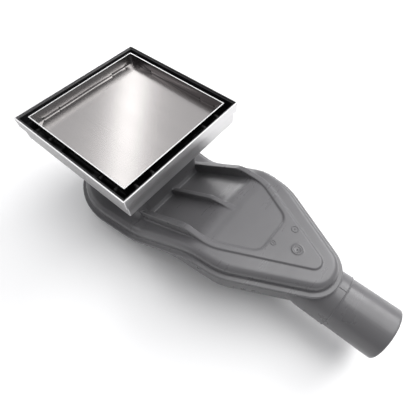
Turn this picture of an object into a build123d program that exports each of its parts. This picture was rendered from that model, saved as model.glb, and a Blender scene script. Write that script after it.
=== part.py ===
from build123d import *
import os

# A square tile-in floor drain with a low two-shell siphon body and a side outlet.
# Millimetres, +Z up. The origin is on the drain's vertical axis, on the flat underside
# of the inlet bowl. +X points from the inlet to the outlet.

# ---- driving dimensions -------------------------------------------------------------

# body outline seen from above: the hull of three circles on the X axis, flange included
bowl_x = -3.0
bowl_radius = 75.0
hump_x = 140.0
hump_radius = 62.0
tip_x = 213.0
tip_past_outlet = 4.0

# body levels
bowl_flange_z = 22.5
cover_over_outlet = 1.0
ramp_foot_x = 48.0
ramp_head_x = 125.0
ramp_bend = 40.0
shoulder_height = 12.0
shoulder_round = 7.0
hull_floor_z = 21.5
hull_foot_x = 55.0
hull_head_x = 100.0
hull_bend = 35.0
hull_round = 12.0

# body walls
wall = 3.0
flange_ledge = 5.0
flange_thickness = 2.0
hull_inset = 8.0
edge_round = 0.8

# raised pad, its border and the ribs on the ramp
pad_rise = 1.5
pad_half = 46.0
pad_round_x = 126.0
pad_tip_radius = 8.0
border = 6.0
recess_end_x = 174.0
recess_corner = 13.0
rail_height = 13.5
rail_bend = 26.0
rib_thickness = 5.0
rib_height = 8.5
rib_before_head = 21.0
rib_past_head = 5.0

# moulded dial near the tip of the pad
dial_x = 198.0
dial_radius = 5.0
dial_line = 0.8
dial_rise = 0.5
dial_pips = 12
dial_pip_ring = 3.0

# square neck over the bowl
neck_half = 47.0
neck_corner = 12.0
neck_in_frame = 2.5
neck_flare = 5.0
neck_flare_height = 7.0
ledge_hole_gap = 1.5
seal_height = 4.0
seal_seat_wall = 1.3

# outlet spigot
outlet_radius = 25.0
outlet_wall = 3.0
outlet_end_x = 296.0
spare_length = 50.0
outlet_start_x = 196.0
collar_start_x = 220.0
collar_end_x = 250.0
collar_rise = 0.7
weir_x = 160.0
weir_z = 55.0

# stainless frame
frame_half = 75.0
frame_top_z = 130.0
frame_depth = 25.0
frame_sheet = 1.2
frame_band = 10.5
frame_step_in = 2.0
frame_step_drop = 2.5
frame_corner = 1.2
least_corner = 0.3
lip_width = 12.0

# black channel with its square spigot
channel_wall = 2.0
channel_below_rim = 1.5
channel_plate = 2.5
spigot_wall = 2.0
spigot_length = 40.0
screw_radius = 1.4
screw_head_radius = 2.6
screw_head_height = 1.4
screw_cap = 1.0
boss_below_tray = 2.5
screw_inset = 7.0
screw_spacing = 50.0

# tile tray
drain_gap = 9.5
tray_sheet = 1.0
tray_depth = 12.0
tray_corner = 0.8
rest_pad_side = 9.0
rest_pad_inset = 8.0
spacer_radius = 1.0
spacer_nose_radius = 1.6
spacer_nose = 3.0
spacer_height = 1.7
spacer_end_inset = 11.5
spacer_pitch = 19.0

# dip insert, its flaps and the strainer
insert_flange_width = 6.0
insert_wall = 2.0
insert_bottom_z = 12.0
insert_top_z = 70.0
insert_rim_step = 1.0
insert_rim = 2.5
insert_flange = 3.5
seat_width = 5.0
seat_thickness = 2.0
seat_z = 51.5
bar_half = 1.2
hinge_x = 3.4
pin_radius = 0.9
knuckle_radius = 1.8
knuckle_gap = 6.0
lug_length = 3.0
lug_inset = 3.0
flap_thickness = 1.8
flap_seal_thickness = 0.7
flap_seal_width = 3.6
spring_wire = 0.3
spring_coil_radius = 1.6
spring_turns = 7
spring_leg = 8.0
oring_radius = 1.0
oring_inset = 2.4
basket_gap = 1.0
basket_wall = 1.2
basket_rim_step = 2.0
basket_hole_radius = 1.8
basket_hole_pitch = 7.0
handle_radius = 3.2
handle_rise = 12.0

# clearances
slide_gap = 0.35
seal_gap = 0.12
pin_gap = 0.05
flap_gap = 0.3
flap_rim_gap = 1.2
lift_gap = 0.65
part_gap = 0.2
oring_gap = 0.1

# ---- values that follow ----------------------------------------------------------------

outlet_z = hull_floor_z + outlet_radius
tip_radius = outlet_radius + tip_past_outlet
hump_flange_z = outlet_z + outlet_radius + cover_over_outlet
cover_z = bowl_flange_z + shoulder_height
hump_z = hump_flange_z + shoulder_height
pad_z = hump_z + pad_rise
far_x = outlet_end_x + spare_length
ramp_slope = (hump_flange_z - bowl_flange_z) / (ramp_head_x - ramp_foot_x)
rail_head_x = ramp_foot_x + (pad_z - cover_z - rail_height) / ramp_slope
rib_head_x = ramp_head_x - rib_before_head
rib_end_x = ramp_head_x + rib_past_head

flange_line = [(-far_x, bowl_flange_z), (ramp_foot_x, bowl_flange_z),
               (ramp_head_x, hump_flange_z), (far_x, hump_flange_z)]
top_line = [(x, z + shoulder_height) for x, z in flange_line]
hull_line = [(-far_x, 0), (hull_foot_x, 0), (hull_head_x, hull_floor_z), (far_x, hull_floor_z)]
rail_line = [(0, cover_z + rail_height - ramp_slope * ramp_foot_x), (rail_head_x, pad_z),
             (far_x, pad_z)]
rib_line = [(0, cover_z + rib_height - ramp_slope * ramp_foot_x),
            (rib_head_x, cover_z + rib_height + ramp_slope * (rib_head_x - ramp_foot_x)),
            (rib_end_x, hump_z - part_gap), (far_x, hump_z - part_gap)]

frame_bottom_z = frame_top_z - frame_depth
neck_top_z = frame_bottom_z + neck_in_frame
neck_inner = neck_half - wall
spigot_half = neck_inner - slide_gap
spigot_inner = spigot_half - spigot_wall
spigot_inner_corner = neck_corner - wall - spigot_wall
plate_z = neck_top_z + part_gap
lip_z = plate_z - frame_sheet
plate_top_z = plate_z + channel_plate
inner_low_half = frame_half - frame_step_in - frame_sheet
screw_line = frame_half - frame_step_in - screw_inset
tray_half = frame_half - drain_gap
tray_bottom_z = frame_top_z - tray_depth
screw_length = tray_bottom_z - boss_below_tray - screw_cap - lip_z
spacer_end = tray_half - spacer_end_inset
spacer_offsets = (-spacer_end, spacer_pitch - spacer_end, spacer_end - spacer_pitch, spacer_end)
insert_flange_radius = spigot_inner - lift_gap
insert_radius = insert_flange_radius - insert_flange_width
insert_rim_radius = insert_flange_radius - insert_rim_step
insert_inner = insert_radius - insert_wall
ledge_hole_radius = insert_radius + ledge_hole_gap
oring_centre_radius = insert_flange_radius - oring_inset
seat_radius = insert_inner - seat_width
hinge_z = seat_z - flap_gap - flap_seal_thickness - flap_thickness / 2
lug_end = insert_inner - lug_inset
lug_start = lug_end - lug_length
flap_radius = insert_inner - flap_rim_gap
basket_radius = insert_inner - basket_gap
basket_rim_radius = insert_rim_radius - basket_rim_step
basket_bottom_z = seat_z + seat_thickness + basket_gap


# ---- helpers -----------------------------------------------------------------------------

def hull(*circles):
    """Flat outline round circles on the X axis, each given as (x, radius)."""
    edges = [edge for x, radius in circles for edge in (Pos(x, 0) * Circle(radius)).edges()]
    return make_hull(edges, mode=Mode.PRIVATE)


def outline(inset):
    """The body seen from above, drawn in by inset all round."""
    return hull((bowl_x, bowl_radius - inset), (hump_x, hump_radius - inset),
                (tip_x, tip_radius - inset))


def slab(face, low, high):
    """A flat outline made solid between two heights."""
    return extrude(Pos(0, 0, low) * face, high - low)


def under(line, bend, lift=0.0):
    """Everything below a line of (x, z) points whose corners are rounded to bend."""
    points = [(x, z + lift) for x, z in line]
    deep = -2 * frame_top_z
    path = FilletPolyline(*points, radius=bend)
    closing = Polyline(points[-1], (points[-1][0], deep), (points[0][0], deep), points[0])
    face = make_face(Plane.XZ * (path + closing))
    return extrude(face, 2 * bowl_radius, both=True)


def height_at(line, x):
    """Height of a line of (x, z) points at x."""
    for (x0, z0), (x1, z1) in zip(line, line[1:]):
        if x <= x1:
            return z0 + (z1 - z0) * (x - x0) / (x1 - x0)
    return line[-1][1]


def rim_edges(solid, near, far):
    """Edges all round a body solid that lie closer to one line than to the other."""
    found = []
    for edge in solid.edges():
        middle = edge @ 0.5
        direction = edge % 0.5
        crosses = edge.geom_type == GeomType.LINE and abs(direction.Y) > 0.99
        if abs(direction.Z) > 0.99 or crosses:
            continue
        level = height_at(near, middle.X)
        if abs(middle.Z - level) < abs(height_at(far, middle.X) - level) / 2:
            found.append(edge)
    return found


def square(half, corner):
    return RectangleRounded(2 * half, 2 * half, corner)


def square_tube(outer, inner, low, high, corner):
    """A square tube whose inner corners keep the wall's thickness."""
    inner_corner = max(corner - (outer - inner), least_corner)
    return slab(square(outer, corner) - square(inner, inner_corner), low, high)


def frame_form(inset, low, high):
    """The frame's stepped outside, drawn in by inset, between two heights."""
    corner = max(frame_corner - inset, least_corner)
    step_top = frame_top_z - frame_band
    step_low = step_top - frame_step_drop
    wide = square(frame_half - inset, corner)
    narrow = square(frame_half - frame_step_in - inset, corner)
    upper = slab(wide, step_top, high)
    step = loft([Pos(0, 0, step_low) * narrow, Pos(0, 0, step_top) * wide], ruled=True)
    return upper + step + slab(narrow, low, step_low)


def tube(outer, inner, low, high):
    return slab(Circle(outer) - Circle(inner), low, high)


def along_y(radius, x, z, start, end):
    """A rod along Y."""
    return Pos(x, (start + end) / 2, z) * Rot(90, 0, 0) * Cylinder(radius, end - start)


def save(name, shape):
    export_step(shape, f"parts/{name}.step")


# ---- body shells ------------------------------------------------------------------------

def cover_core(inset, lift, rounding, flange=0.0):
    """The cover under the top line, its shoulder rounded, on a flange plate if one is asked for."""
    core = slab(outline(inset), 1, frame_top_z) & under(top_line, ramp_bend, lift)
    if flange:
        core += slab(outline(0), 0, frame_top_z) & under(flange_line, ramp_bend, flange)
    return fillet(rim_edges(core, top_line, flange_line), rounding)


def flange_band(low, high):
    """The flat joining edge of a shell, between two offsets from the flange line."""
    band = under(flange_line, ramp_bend, high) - under(flange_line, ramp_bend, low)
    return slab(outline(0), 0, frame_top_z) & band


def pad_outline(inset):
    """Rails and pad seen from above, drawn in by inset."""
    half = pad_half - inset
    straight = Pos(pad_round_x / 2, 0) * Rectangle(pad_round_x, 2 * half)
    return straight + hull((pad_round_x, half), (tip_x, pad_tip_radius - inset))


def recess():
    """The sunken floor between the rails, closed by a straight end with round corners."""
    before_end = Pos(recess_end_x / 2, 0) * Rectangle(recess_end_x, 2 * pad_half)
    face = pad_outline(border) & before_end
    ends = [v for v in face.vertices() if abs(v.X - recess_end_x) < 0.01]
    face = fillet(ends, recess_corner)
    return slab(face, 0, frame_top_z) - under(top_line, ramp_bend)


def dial():
    """A plain moulded ring with pips inside it."""
    ring = slab(Circle(dial_radius) - Circle(dial_radius - dial_line), pad_z, pad_z + dial_rise)
    pip = Pos(0, 0, pad_z + dial_rise / 2) * Cylinder(dial_line / 2, dial_rise)
    for place in PolarLocations(dial_pip_ring, dial_pips):
        ring += place * pip
    return Pos(dial_x, 0, 0) * ring


def upper_shell():
    body = cover_core(flange_ledge, 0, shoulder_round, flange_thickness)
    body -= under(flange_line, ramp_bend)
    rails = slab(pad_outline(0), 0, frame_top_z) & under(rail_line, rail_bend)
    body += rails - under(top_line, ramp_bend, -wall / 2)
    body -= recess()
    rib_face = Pos(rib_end_x / 2, 0) * Rectangle(rib_end_x, rib_thickness)
    rib = slab(rib_face, 0, frame_top_z) & under(rib_line, rail_bend)
    body += rib - under(top_line, ramp_bend, -wall / 2)
    foot = square(neck_half + neck_flare, neck_corner + neck_flare)
    throat = square(neck_half, neck_corner)
    flare_low = cover_z - wall / 2
    body += loft([Pos(0, 0, flare_low) * foot, Pos(0, 0, cover_z + neck_flare_height) * throat])
    body += slab(throat, cover_z, neck_top_z)
    body -= cover_core(flange_ledge + wall, -wall, shoulder_round - wall)
    body -= slab(square(neck_inner, neck_corner - wall), cover_z, neck_top_z)
    body -= slab(Circle(ledge_hole_radius), 0, neck_top_z)
    seat = square(neck_half - seal_seat_wall, neck_corner - seal_seat_wall)
    body -= slab(seat, neck_top_z - seal_height, neck_top_z)
    return body + dial()


def hull_core(inset, lift, rounding, top):
    """The trough under the flange line, with its rounded bottom edge."""
    core = slab(outline(inset), -1, frame_top_z) & under(flange_line, ramp_bend, top)
    core -= under(hull_line, hull_bend, lift)
    return fillet(rim_edges(core, hull_line, flange_line), rounding)


def along_x(radius, start, end):
    """A rod along the outlet's axis."""
    middle = (start + end) / 2
    return Pos(middle, 0, outlet_z) * Rot(0, 90, 0) * Cylinder(radius, end - start)


def lower_shell():
    body = hull_core(hull_inset, 0, hull_round, -flange_thickness / 2)
    body += flange_band(-flange_thickness, 0)
    spigot = along_x(outlet_radius, outlet_start_x, outlet_end_x)
    mouth = spigot.edges().filter_by(GeomType.CIRCLE).sort_by(Axis.X)[-1]
    body += fillet(mouth, edge_round)
    body += along_x(outlet_radius + collar_rise, collar_start_x, collar_end_x)
    hollow = hull_core(hull_inset + wall, wall, hull_round - wall, wall / 2)
    body -= hollow
    body -= along_x(outlet_radius - outlet_wall, outlet_start_x - outlet_radius, far_x)
    weir = Pos(weir_x, 0, weir_z / 2) * Box(wall, 2 * hump_radius, weir_z)
    return body + (weir & hollow)


def neck_seal():
    outer = neck_half - seal_seat_wall
    inner = spigot_half + seal_gap
    corner = neck_corner - seal_seat_wall
    return square_tube(outer, inner, neck_top_z - seal_height, neck_top_z, corner)


# ---- frame ------------------------------------------------------------------------------

def screw_places():
    """Two screws along each side of the frame."""
    places = []
    for turn in range(4):
        for offset in (-screw_spacing / 2, screw_spacing / 2):
            places.append(Rot(0, 0, 90 * turn) * Pos(screw_line, offset, 0))
    return places


def at_each(places, shape):
    """One copy of a solid at every place."""
    return [place * shape for place in places]


def frame_rim():
    rim = frame_form(0, frame_bottom_z, frame_top_z)
    rim -= frame_form(frame_sheet, frame_bottom_z, frame_top_z)
    lip_outer = inner_low_half + frame_sheet / 2
    rim += square_tube(lip_outer, inner_low_half - lip_width, lip_z, plate_z, frame_corner)
    hole = Pos(0, 0, lip_z) * Cylinder(screw_radius + pin_gap, 4 * frame_sheet)
    for cut in at_each(screw_places(), hole):
        rim -= cut
    return rim


def frame_channel():
    """The black pan inside the frame, open over the spigot."""
    channel = frame_form(frame_sheet, plate_z, frame_top_z - channel_below_rim)
    channel -= frame_form(frame_sheet + channel_wall, plate_top_z, frame_top_z)
    channel -= slab(square(spigot_inner, spigot_inner_corner), plate_z, plate_top_z)
    boss_height = lip_z + screw_length + screw_cap - plate_z
    boss = Pos(0, 0, plate_z + boss_height / 2) * Cylinder(2 * screw_radius, boss_height)
    for post in at_each(screw_places(), boss):
        channel += post
    bore_depth = screw_length - frame_sheet + part_gap
    bore = Pos(0, 0, plate_z + bore_depth / 2) * Cylinder(screw_radius + pin_gap, bore_depth)
    for cut in at_each(screw_places(), bore):
        channel -= cut
    return channel


def channel_spigot():
    """The square pipe that hangs from the pan into the neck."""
    return square_tube(spigot_half, spigot_inner, plate_z - spigot_length, plate_z,
                       spigot_inner_corner + spigot_wall)


def frame_screw():
    shank = slab(Circle(screw_radius), lip_z, lip_z + screw_length)
    head = slab(Circle(screw_head_radius), lip_z - screw_head_height, lip_z)
    head = fillet(head.edges().sort_by(Axis.Z)[0], screw_head_height / 2)
    return head + shank


def rest_pad_places():
    """Pads under the tray's corners and the middles of its sides."""
    reach = tray_half - rest_pad_inset
    steps = (-reach, 0, reach)
    return [Pos(x, y, 0) for x in steps for y in steps if (x, y) != (0, 0)]


def rest_pad():
    return slab(square(rest_pad_side / 2, edge_round), plate_top_z, tray_bottom_z)


# ---- tray -------------------------------------------------------------------------------

def spacer_places():
    """Spacers along each side of the tray, turned to point outwards."""
    height = tray_bottom_z + tray_sheet + spacer_height
    places = []
    for turn in range(4):
        for offset in spacer_offsets:
            places.append(Rot(0, 0, 90 * turn) * Pos(tray_half, offset, height) * Rot(0, 90, 0))
    return places


def tile_tray():
    tray = slab(square(tray_half, tray_corner), tray_bottom_z, frame_top_z)
    inside = Rectangle(2 * (tray_half - tray_sheet), 2 * (tray_half - tray_sheet))
    tray -= slab(inside, tray_bottom_z + tray_sheet, frame_top_z)
    for cut in at_each(spacer_places(), Cylinder(spacer_radius, 4 * tray_sheet)):
        tray -= cut
    return tray


def tray_spacer():
    """A plastic plug, flush inside the tray's wall, with a rounded nose outside it."""
    nose = slab(Circle(spacer_nose_radius), 0, spacer_nose)
    nose = fillet(nose.edges().sort_by(Axis.Z)[-1], edge_round)
    return nose + slab(Circle(spacer_radius - pin_gap), -tray_sheet, 0)


# ---- dip insert -------------------------------------------------------------------------

def insert_tube():
    """The removable dip tube with its rim and its flange, grooved for the O-ring."""
    body = tube(insert_radius, insert_inner, insert_bottom_z, insert_top_z)
    body += tube(insert_rim_radius, insert_inner, insert_top_z - insert_rim, insert_top_z)
    body += tube(insert_flange_radius, insert_inner, cover_z, cover_z + insert_flange)
    groove_half = oring_radius + oring_gap
    groove_top = cover_z + 2 * groove_half + oring_gap
    groove_outer = oring_centre_radius + groove_half
    return body - tube(groove_outer, oring_centre_radius - groove_half, cover_z, groove_top)


def valve_seat():
    """The ring inside the tube that the flaps close on, with their bar and hinge lugs."""
    body = tube(insert_inner, seat_radius, seat_z, seat_z + seat_thickness)
    bar_low = hinge_z - 2 * knuckle_radius
    bar_face = Circle(insert_inner) & Rectangle(2 * bar_half, 2 * insert_inner)
    body += slab(bar_face, bar_low, seat_z + seat_thickness)
    for side in (-1, 1):
        x = side * hinge_x
        for start, end in ((lug_start, lug_end), (-lug_end, -lug_start)):
            lug = along_y(knuckle_radius, x, hinge_z, start, end)
            middle = Pos(x / 2, (start + end) / 2, (hinge_z - knuckle_radius + seat_z) / 2)
            lug += middle * Box(hinge_x, lug_length, seat_z - hinge_z + knuckle_radius)
            body += lug
        body -= along_y(pin_radius + pin_gap, x, hinge_z, -lug_end, lug_end)
    return body


def insert_oring():
    height = cover_z + oring_radius + oring_gap
    return Pos(0, 0, height) * Torus(oring_centre_radius, oring_radius)


def hinge_pin():
    return along_y(pin_radius, hinge_x, hinge_z, -lug_end + part_gap, lug_end - part_gap)


def flap():
    """A half-round flap with two knuckles round its pin."""
    inner_edge = hinge_x + knuckle_radius + 2 * flap_gap
    far_half = Pos(inner_edge + flap_radius, 0) * Rectangle(2 * flap_radius, 2 * flap_radius)
    plate_low = hinge_z - flap_thickness / 2
    body = slab(Circle(flap_radius) & far_half, plate_low, plate_low + flap_thickness)
    knuckle_end = lug_start - flap_gap
    for start, end in ((knuckle_gap, knuckle_end), (-knuckle_end, -knuckle_gap)):
        body += along_y(knuckle_radius, hinge_x, hinge_z, start, end)
        reach = inner_edge + knuckle_radius - hinge_x
        middle = Pos(hinge_x + reach / 2, (start + end) / 2, hinge_z)
        body += middle * Box(reach, end - start, flap_thickness)
    return body - along_y(pin_radius + pin_gap, hinge_x, hinge_z, -knuckle_end, knuckle_end)


def flap_seal():
    """A rubber half ring on the flap, just under the seat."""
    inner_edge = hinge_x + knuckle_radius + 2 * flap_gap
    far_half = Pos(inner_edge + flap_radius, 0) * Rectangle(2 * flap_radius, 2 * flap_radius)
    ring = Circle(flap_radius - flap_gap) - Circle(flap_radius - flap_gap - flap_seal_width)
    low = hinge_z + flap_thickness / 2
    return slab(ring & far_half, low, low + flap_seal_thickness)


def flap_spring():
    """A torsion spring round the pin: one leg up the bar, one leg under the flap."""
    turns = spring_turns - 0.75
    pitch = 2 * (knuckle_gap - flap_gap) / spring_turns
    length = turns * pitch
    coil_path = Helix(pitch, length, spring_coil_radius)
    start = Plane(origin=coil_path @ 0, z_dir=coil_path % 0)
    coil = sweep(start * Circle(spring_wire), path=coil_path, is_frenet=True)
    bar_leg = start * Pos(0, 0, -spring_leg / 4) * Cylinder(spring_wire, spring_leg / 2)
    finish = Plane(origin=coil_path @ 1, z_dir=coil_path % 1)
    flap_leg = finish * Pos(0, 0, spring_leg / 2) * Cylinder(spring_wire, spring_leg)
    spring = Rot(0, 0, 180) * (coil + bar_leg + flap_leg)
    return Pos(hinge_x, length / 2, hinge_z) * Rot(90, 0, 0) * spring


# ---- strainer ---------------------------------------------------------------------------

def strainer_basket():
    inner = basket_radius - basket_wall
    rim_top = insert_top_z + basket_wall
    cup = tube(basket_radius, inner, basket_bottom_z, rim_top)
    return cup + tube(basket_rim_radius, inner, insert_top_z, rim_top)


def strainer_grid():
    """The basket's floor with rings of round holes."""
    top_z = basket_bottom_z + basket_wall
    body = slab(Circle(basket_radius - basket_wall), basket_bottom_z, top_z)
    hole = Pos(0, 0, basket_bottom_z) * Cylinder(basket_hole_radius, 4 * basket_wall)
    rows = int((basket_radius - 2 * basket_wall) / basket_hole_pitch)
    for row in range(1, rows + 1):
        for place in PolarLocations(row * basket_hole_pitch, 6 * row):
            body -= place * hole
    return body


def strainer_handle():
    floor_z = basket_bottom_z + basket_wall
    top_z = insert_top_z + handle_rise
    stem = slab(Circle(handle_radius), floor_z, top_z)
    knob = slab(Circle(2 * handle_radius), top_z - handle_radius, top_z)
    knob = fillet(knob.edges(), handle_radius / 3)
    return stem + knob


# ---- build ------------------------------------------------------------------------------

os.makedirs("parts", exist_ok=True)

save("upper_shell", upper_shell())
save("lower_shell", lower_shell())
save("neck_seal", neck_seal())
save("frame_rim", frame_rim())
save("frame_channel", frame_channel())
save("channel_spigot", channel_spigot())
save("frame_screws", Compound(children=at_each(screw_places(), frame_screw())))
save("tray_rest_pads", Compound(children=at_each(rest_pad_places(), rest_pad())))
save("tile_tray", tile_tray())
save("tray_spacers", Compound(children=at_each(spacer_places(), tray_spacer())))
save("insert_tube", insert_tube())
save("valve_seat", valve_seat())
save("insert_oring", insert_oring())
save("strainer_basket", strainer_basket())
save("strainer_grid", strainer_grid())
save("strainer_handle", strainer_handle())
for part, make in (("flap_pin", hinge_pin), ("flap", flap), ("flap_seal", flap_seal),
                   ("flap_spring", flap_spring)):
    right = make()
    save(f"{part}_right", right)
    save(f"{part}_left", mirror(right, about=Plane.YZ))
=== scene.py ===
import math

import bpy
from mathutils import Matrix, Vector


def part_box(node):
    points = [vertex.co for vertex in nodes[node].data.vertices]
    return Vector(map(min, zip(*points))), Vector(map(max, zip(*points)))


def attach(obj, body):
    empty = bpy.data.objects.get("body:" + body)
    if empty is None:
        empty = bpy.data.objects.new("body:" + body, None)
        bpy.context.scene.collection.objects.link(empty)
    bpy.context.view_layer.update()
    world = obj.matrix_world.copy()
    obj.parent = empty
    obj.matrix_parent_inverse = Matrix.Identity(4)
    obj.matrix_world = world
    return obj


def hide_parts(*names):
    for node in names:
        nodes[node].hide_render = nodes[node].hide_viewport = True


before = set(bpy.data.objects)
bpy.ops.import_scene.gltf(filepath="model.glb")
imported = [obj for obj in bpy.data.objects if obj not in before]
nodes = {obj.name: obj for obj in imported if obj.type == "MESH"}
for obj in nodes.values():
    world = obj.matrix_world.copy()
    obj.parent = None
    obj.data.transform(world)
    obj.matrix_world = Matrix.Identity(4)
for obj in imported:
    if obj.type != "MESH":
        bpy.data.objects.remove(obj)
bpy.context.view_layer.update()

MM = 0.001
PAD_HEIGHT = 63.5 * MM
OUTLET_HEIGHT = 46.5 * MM
PIPE_RADIUS = 25 * MM
COLLAR_END = 250 * MM
TOP_LINE_LENGTH = 30 * MM
TOP_LINE_MIDDLE = 235.5 * MM
DIAL_PLACE = (198 * MM, 0)
DIAL_RADIUS = 4.6 * MM
PIP_RING_RADIUS = 3 * MM
PIP_COUNT = 12
RAISED_LINE = 0.45 * MM
SMALL_RINGS = (((186 * MM, 16 * MM), 3 * MM), ((178 * MM, -7.5 * MM), 2.2 * MM))
HIGHLIGHT_BAND = 0.5 * MM
FLOOR_SIZE = 9
FLOOR_GAP = 0.5 * MM


# ---- selecting and finishing ----------------------------------------------------------


def deselect():
    """Leave edit mode and select nothing."""
    if bpy.context.object and bpy.context.object.mode != "OBJECT":
        bpy.ops.object.mode_set(mode="OBJECT")
    bpy.ops.object.select_all(action="DESELECT")


def activate(piece):
    """Only this piece is selected and active."""
    deselect()
    piece.select_set(True)
    bpy.context.view_layer.objects.active = piece


def apply_modifiers(piece):
    """Make the piece's modifiers part of its mesh."""
    activate(piece)
    for modifier in list(piece.modifiers):
        bpy.ops.object.modifier_apply(modifier=modifier.name)


def copy_of_node(node, name):
    """A merged copy of a CAD node's mesh, as a new piece."""
    piece = bpy.data.objects.new(name, nodes[node].data.copy())
    bpy.context.scene.collection.objects.link(piece)
    activate(piece)
    bpy.ops.object.mode_set(mode="EDIT")
    bpy.ops.mesh.select_all(action="SELECT")
    bpy.ops.mesh.remove_doubles(threshold=0.002 * MM)
    bpy.ops.object.mode_set(mode="OBJECT")
    return piece


def moulded(node, name, body, voxel, smoothing, keep):
    """A moulded shell: the CAD shape with softly rounded edges."""
    piece = copy_of_node(node, name)
    remesh = piece.modifiers.new("Remesh", "REMESH")
    remesh.mode = "VOXEL"
    remesh.voxel_size = voxel
    smooth = piece.modifiers.new("Soften", "SMOOTH")
    smooth.factor = 0.5
    smooth.iterations = smoothing
    fewer = piece.modifiers.new("Fewer", "DECIMATE")
    fewer.ratio = keep
    apply_modifiers(piece)
    bpy.ops.object.shade_smooth()
    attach(piece, body)
    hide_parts(node)
    return piece


def folded(node, name, body, width):
    """A sheet or machined piece: the CAD shape with small round edges."""
    piece = copy_of_node(node, name)
    activate(piece)
    bpy.ops.object.mode_set(mode="EDIT")
    bpy.ops.mesh.select_all(action="SELECT")
    bpy.ops.mesh.dissolve_limited(angle_limit=math.radians(1))
    bpy.ops.object.mode_set(mode="OBJECT")
    bevel = piece.modifiers.new("Edges", "BEVEL")
    bevel.width = width
    bevel.segments = 3
    bevel.limit_method = "ANGLE"
    bevel.angle_limit = math.radians(40)
    apply_modifiers(piece)
    bpy.ops.object.shade_smooth_by_angle(angle=math.radians(30))
    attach(piece, body)
    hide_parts(node)
    return piece


# ---- materials ------------------------------------------------------------------------


class Maker:
    """Adds nodes to one material."""

    def __init__(self, name):
        self.material = bpy.data.materials.new(name)
        self.material.use_nodes = True
        self.tree = self.material.node_tree
        self.shader = self.tree.nodes["Principled BSDF"]
        self.coords = self.tree.nodes.new("ShaderNodeTexCoord").outputs["Object"]

    def node(self, kind, **values):
        made = self.tree.nodes.new(kind)
        for key, value in values.items():
            if key in made.inputs:
                made.inputs[key].default_value = value
            else:
                setattr(made, key, value)
        return made

    def link(self, output, target):
        self.tree.links.new(output, target)

    def noise(self, scale, detail=2.0, stretch=(1, 1, 1), roughness=0.5):
        mapping = self.node("ShaderNodeMapping")
        mapping.inputs["Scale"].default_value = stretch
        self.link(self.coords, mapping.inputs["Vector"])
        noise = self.node("ShaderNodeTexNoise", Scale=scale, Detail=detail, Roughness=roughness)
        self.link(mapping.outputs["Vector"], noise.inputs["Vector"])
        return noise.outputs["Fac"]

    def ramp(self, source, stops):
        """A colour ramp from (place, colour or grey) stops."""
        ramp = self.node("ShaderNodeValToRGB")
        elements = ramp.color_ramp.elements
        while len(elements) < len(stops):
            elements.new(0.5)
        for element, (place, colour) in zip(elements, stops):
            element.position = place
            if isinstance(colour, (int, float)):
                colour = (colour, colour, colour)
            element.color = (*colour, 1)
        self.link(source, ramp.inputs["Fac"])
        return ramp.outputs["Color"]

    def bump(self, *layers):
        """Bumps from (source, strength, distance in metres) layers, one on another."""
        normal = None
        for source, strength, distance in layers:
            bump = self.node("ShaderNodeBump", Strength=strength, Distance=distance)
            self.link(source, bump.inputs["Height"])
            if normal:
                self.link(normal, bump.inputs["Normal"])
            normal = bump.outputs["Normal"]
        self.link(normal, self.shader.inputs["Normal"])


def tinted(colour, factor):
    """The colour, lighter or darker by a factor."""
    return tuple(part * factor for part in colour)


def moulded_plastic(name, colour, roughness):
    """Satin moulded plastic: fine grain, faint flow clouds, small scuffs."""
    maker = Maker(name)
    cloud = maker.noise(14, 3, (1, 1.6, 1))
    maker.link(maker.ramp(cloud, [(0.3, tinted(colour, 0.94)), (0.7, tinted(colour, 1.06))]),
               maker.shader.inputs["Base Color"])
    scuff = maker.noise(60, 5, (1, 0.25, 1), 0.7)
    maker.link(maker.ramp(scuff, [(0.35, roughness - 0.05), (0.7, roughness + 0.09)]),
               maker.shader.inputs["Roughness"])
    fine = maker.noise(2600, 2)
    maker.bump((fine, 0.25, 0.03 * MM), (scuff, 0.12, 0.08 * MM))
    maker.shader.inputs["IOR"].default_value = 1.48
    return maker.material


def brushed_steel(name, colour, along, roughness, wear=0.06, depth=0.3):
    """Brushed stainless: long fine lines along one axis, with faint handling marks."""
    maker = Maker(name)
    stretch = [70, 70, 70]
    stretch["XYZ".index(along)] = 0.9
    lines = maker.noise(28, 4, stretch, 0.65)
    wide = maker.noise(9, 2, [part / 20 + 0.5 for part in stretch])
    maker.link(maker.ramp(lines, [(0.3, tinted(colour, 1 - depth / 3)),
                                  (0.72, tinted(colour, 1 + depth / 4))]),
               maker.shader.inputs["Base Color"])
    spread = maker.node("ShaderNodeMix", data_type="FLOAT")
    spread.inputs["Factor"].default_value = 0.5
    maker.link(lines, spread.inputs["A"])
    maker.link(wide, spread.inputs["B"])
    maker.link(maker.ramp(spread.outputs["Result"],
                          [(0.35, roughness - wear), (0.65, roughness + wear)]),
               maker.shader.inputs["Roughness"])
    maker.bump((lines, depth, 0.01 * MM))
    maker.shader.inputs["Metallic"].default_value = 1.0
    return maker.material


def plain_steel(name, colour, roughness=0.3, metallic=1.0):
    """Turned or drawn stainless for small fixings."""
    maker = Maker(name)
    grain = maker.noise(900, 3)
    maker.link(maker.ramp(grain, [(0.3, tinted(colour, 0.9)), (0.7, tinted(colour, 1.05))]),
               maker.shader.inputs["Base Color"])
    maker.link(maker.ramp(grain, [(0.3, roughness - 0.06), (0.7, roughness + 0.06)]),
               maker.shader.inputs["Roughness"])
    maker.bump((grain, 0.2, 0.01 * MM))
    maker.shader.inputs["Metallic"].default_value = metallic
    return maker.material


def black_plastic(name):
    """Black channel plastic: semi-gloss with dust-fine grain."""
    maker = Maker(name)
    dust = maker.noise(700, 4, roughness=0.7)
    maker.link(maker.ramp(dust, [(0.55, (0.006, 0.006, 0.007)), (0.8, (0.02, 0.02, 0.021))]),
               maker.shader.inputs["Base Color"])
    maker.link(maker.ramp(dust, [(0.4, 0.3), (0.75, 0.5)]), maker.shader.inputs["Roughness"])
    maker.bump((dust, 0.2, 0.02 * MM))
    return maker.material


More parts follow.
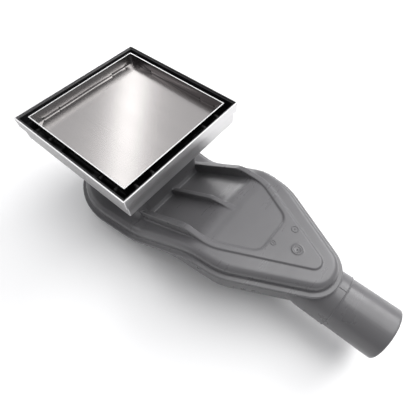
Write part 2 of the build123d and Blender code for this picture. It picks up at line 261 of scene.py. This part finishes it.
def rubber(name):
    """Soft black rubber with a dry bloom."""
    maker = Maker(name)
    bloom = maker.noise(300, 4)
    maker.link(maker.ramp(bloom, [(0.4, (0.012, 0.012, 0.012)), (0.8, (0.035, 0.035, 0.034))]),
               maker.shader.inputs["Base Color"])
    maker.link(maker.ramp(bloom, [(0.3, 0.62), (0.8, 0.8)]), maker.shader.inputs["Roughness"])
    maker.bump((bloom, 0.4, 0.03 * MM))
    return maker.material


# ---- pieces ---------------------------------------------------------------------------

body_grey = moulded_plastic("body_grey", (0.128, 0.126, 0.131), 0.31)
insert_grey = moulded_plastic("insert_grey", (0.5, 0.5, 0.51), 0.4)
flap_white = moulded_plastic("flap_white", (0.62, 0.62, 0.61), 0.38)
strainer_grey = moulded_plastic("strainer_grey", (0.36, 0.37, 0.38), 0.4)
channel_black = black_plastic("channel_black")
seal_black = rubber("seal_black")
# Frame steel in two copies as painted shade: the sides brushed along X and the flat faces are
# painted dark, and the sides brushed along Y are painted light.
frame_along_x_painted_shade = brushed_steel("frame_along_x_painted_shade", (0.3, 0.295, 0.297), "X", 0.3)
frame_along_y_painted_light = brushed_steel("frame_along_y_painted_light", (0.66, 0.655, 0.66), "Y", 0.42)
# Tray steel in three copies as painted shade and painted reflection: both walls are painted
# darker than the floor, and the walls brushed along X are the darkest.
tray_along_x_painted_shade = brushed_steel("tray_along_x_painted_shade", (0.2, 0.185, 0.187), "X", 0.14)
tray_along_y_painted_shade = brushed_steel("tray_along_y_painted_shade", (0.3, 0.295, 0.295), "Y", 0.14)
tray_floor_painted_light = brushed_steel("tray_floor_painted_light", (0.53, 0.51, 0.5), "X", 0.22, 0.02, 0.12)
# Near-white steel for the top faces of the frame and tray rims: a painted highlight.
rim_painted_highlight = plain_steel("rim_painted_highlight", (0.9, 0.9, 0.9), 0.4, 0.5)
fixing_steel = plain_steel("fixing_steel", (0.6, 0.6, 0.6))


def paint(piece, *materials):
    """Give the piece these materials, in this order."""
    piece.data.materials.clear()
    for material in materials:
        piece.data.materials.append(material)


def brush_and_shade_by_side(piece, along_x_shading, along_y_shading, top_highlight, flat, highlight_height):
    """Sides are brushed along their length and take lighter and darker copies of the steel by the
    way they face, as painted shade; top faces near the rim take a painted highlight, and flat
    faces a copy of their own.
    """
    paint(piece, along_x_shading, along_y_shading, flat, top_highlight)
    for face in piece.data.polygons:
        if face.center.z > highlight_height and face.normal.z > 0.2:
            face.material_index = 3
        elif abs(face.normal.z) > 0.7:
            face.material_index = 2
        elif abs(face.normal.x) > abs(face.normal.y):
            face.material_index = 1
        else:
            face.material_index = 0


cover = moulded("upper_shell", "body_cover", "root", 0.7 * MM, 2, 0.3)
trough = moulded("lower_shell", "body_trough", "root", 0.9 * MM, 3, 0.35)
paint(cover, body_grey)
paint(trough, body_grey)

surround = folded("frame_rim", "frame_surround", "frame", 0.25 * MM)
# Upward faces within this band below the rim's top take the painted highlight.
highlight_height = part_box("frame_rim")[1].z - HIGHLIGHT_BAND
brush_and_shade_by_side(surround, frame_along_x_painted_shade, frame_along_y_painted_light, rim_painted_highlight, frame_along_x_painted_shade, highlight_height)
channel = folded("frame_channel", "drain_channel", "frame", 0.4 * MM)
paint(channel, channel_black)
tray = folded("tile_tray", "tray_sheet", "tray", 0.2 * MM)
brush_and_shade_by_side(tray, tray_along_x_painted_shade, tray_along_y_painted_shade, rim_painted_highlight, tray_floor_painted_light, highlight_height)


def join_as(name, pieces):
    """Join loose pieces into one body piece with this name, at the origin."""
    deselect()
    for piece in pieces:
        piece.select_set(True)
    bpy.context.view_layer.objects.active = pieces[0]
    bpy.ops.object.join()
    bpy.ops.object.transform_apply(location=True, rotation=True, scale=True)
    joined = bpy.context.object
    joined.name = name
    paint(joined, body_grey)
    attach(joined, "root")


def ring(place, radius, line):
    """A raised round line on the pad."""
    deselect()
    bpy.ops.mesh.primitive_torus_add(major_radius=radius, minor_radius=line, location=place,
                                     major_segments=48, minor_segments=10)
    return bpy.context.object


def stud(place, radius):
    """A small raised dot on the pad."""
    deselect()
    bpy.ops.mesh.primitive_uv_sphere_add(radius=radius, location=place, segments=16, ring_count=8)
    return bpy.context.object


def pad_marks():
    """Plain moulded rings: a dial with pips near the tip, and two smaller ones."""
    pad_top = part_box("upper_shell")[0].z + PAD_HEIGHT
    dial = Vector((*DIAL_PLACE, pad_top + 0.3 * MM))
    pieces = [ring(dial, DIAL_RADIUS, RAISED_LINE), stud(dial, 0.7 * MM)]
    for pip in range(PIP_COUNT):
        turn = math.radians(360 * pip / PIP_COUNT)
        reach = Vector((math.cos(turn), math.sin(turn), 0)) * PIP_RING_RADIUS
        pieces.append(stud(dial + reach, RAISED_LINE))
    for place, radius in SMALL_RINGS:
        centre = Vector((*place, pad_top))
        pieces += [ring(centre, radius, RAISED_LINE), stud(centre, 0.6 * MM)]
    join_as("pad_marks", pieces)
    bpy.ops.object.shade_smooth()


pad_marks()


def pipe_seam():
    """The mould's fine raised lines: round the collar's end and along the pipe's top."""
    axis_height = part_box("lower_shell")[0].z + OUTLET_HEIGHT
    deselect()
    across = (0, math.radians(90), 0)
    bpy.ops.mesh.primitive_torus_add(major_radius=PIPE_RADIUS + 0.45 * MM,
                                     minor_radius=0.5 * MM,
                                     location=(COLLAR_END, 0, axis_height), rotation=across,
                                     major_segments=96, minor_segments=10)
    round_line = bpy.context.object
    top_line_height = axis_height + PIPE_RADIUS + 0.7 * MM
    deselect()
    bpy.ops.mesh.primitive_cylinder_add(radius=0.4 * MM, depth=TOP_LINE_LENGTH, vertices=12,
                                        location=(TOP_LINE_MIDDLE, 0, top_line_height),
                                        rotation=across)
    join_as("pipe_seam", [round_line, bpy.context.object])
    bpy.ops.object.shade_smooth_by_angle(angle=math.radians(40))


pipe_seam()

for node, material in (
    ("neck_seal", seal_black), ("frame_screws", fixing_steel), ("tray_rest_pads", seal_black),
    ("tray_spacers", seal_black), ("channel_spigot", channel_black),
    ("strainer_basket", strainer_grey), ("strainer_grid", strainer_grey),
    ("strainer_handle", strainer_grey),
    ("insert_tube", insert_grey), ("valve_seat", insert_grey), ("insert_oring", seal_black),
    ("flap_pin_left", fixing_steel), ("flap_pin_right", fixing_steel),
    ("flap_spring_left", fixing_steel), ("flap_spring_right", fixing_steel),
    ("flap_left", flap_white), ("flap_right", flap_white),
    ("flap_seal_left", seal_black), ("flap_seal_right", seal_black),
):
    paint(nodes[node], material)


# ---- studio ---------------------------------------------------------------------------

frame_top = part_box("frame_rim")[1].z

VIEW_TURN = math.radians(39.1)
VIEW_HEIGHT = math.radians(58.45)
back = Vector((math.sin(VIEW_TURN) * math.cos(VIEW_HEIGHT),
               -math.cos(VIEW_TURN) * math.cos(VIEW_HEIGHT), math.sin(VIEW_HEIGHT)))
right = Vector((math.cos(VIEW_TURN), math.sin(VIEW_TURN), 0))
up = back.cross(right)


def aimed(place, facing, upward):
    """A matrix at place that looks against facing, with upward up."""
    side = upward.cross(facing).normalized()
    turn = Matrix((side, facing.cross(side), facing)).transposed()
    return Matrix.Translation(place) @ turn.to_4x4()


camera = bpy.data.objects.new("camera", bpy.data.cameras.new("camera"))
bpy.context.scene.collection.objects.link(camera)
camera.data.sensor_width = 36
camera.data.lens = 27.04
camera.data.clip_start = 0.01
camera_place = Vector((0.2077, -0.1344, 0.2046 + frame_top))
camera.matrix_world = aimed(camera_place, back, up)
bpy.context.scene.camera = camera


body_middle = Vector((0.08, 0, 0.08))


def softbox(name, direction, distance, width, height, power, target=body_middle):
    """A rectangular light that faces a place on the drain."""
    lamp = bpy.data.lights.new(name, "AREA")
    lamp.shape = "RECTANGLE"
    lamp.size = width
    lamp.size_y = height
    lamp.energy = power
    placed = bpy.data.objects.new(name, lamp)
    bpy.context.scene.collection.objects.link(placed)
    facing = Vector(direction).normalized()
    placed.matrix_world = aimed(target + facing * distance, facing, Vector((0, 0, 1)))


tray_middle = Vector((0, 0, 0.119))
softbox("high_far_light", (0.3, 0.95, 0.75), 1.4, 0.9, 0.5, 8.5)
softbox("overhead", (0.3, 0.3, 1.0), 1.5, 1.2, 1.2, 16)
softbox("low_far_light", (-0.87, 0.5, 0.14), 1.2, 0.6, 0.3, 2.6)
softbox("left_fill", (-1.0, -0.35, 0.5), 1.4, 0.7, 0.5, 1.8)
softbox("streak_light", (-0.59, 0.44, 0.67), 1.0, 0.06, 0.5, 0.27, target=tray_middle)

far_side = Vector((-back.x, -back.y, 0))
world = bpy.data.worlds.new("studio")
bpy.context.scene.world = world
world.use_nodes = True
sky = world.node_tree
sky_direction = sky.nodes.new("ShaderNodeTexCoord").outputs["Generated"]
towards_far = sky.nodes.new("ShaderNodeVectorMath")
towards_far.operation = "DOT_PRODUCT"
towards_far.inputs[1].default_value = (far_side + Vector((0, 0, 0.35))).normalized()
sky.links.new(sky_direction, towards_far.inputs[0])
fade = sky.nodes.new("ShaderNodeMapRange")
fade.inputs["From Min"].default_value = -1.0
fade.inputs["From Max"].default_value = 1.0
fade.inputs["To Min"].default_value = 0.14
fade.inputs["To Max"].default_value = 0.7
sky.links.new(towards_far.outputs["Value"], fade.inputs["Value"])
sky.links.new(fade.outputs["Result"], sky.nodes["Background"].inputs["Strength"])
sky.nodes["Background"].inputs["Color"].default_value = (0.98, 0.98, 1.0, 1)
bpy.context.scene.view_settings.view_transform = "Standard"

deselect()
bpy.ops.mesh.primitive_plane_add(size=FLOOR_SIZE, location=(0, 0, -FLOOR_GAP))
floor = bpy.context.object
floor.name = "studio_floor"
floor_maker = Maker("studio_floor_paint")
floor_maker.shader.inputs["Base Color"].default_value = (0.97, 0.97, 0.97, 1)
floor_maker.shader.inputs["Roughness"].default_value = 0.9
paint(floor, floor_maker.material)
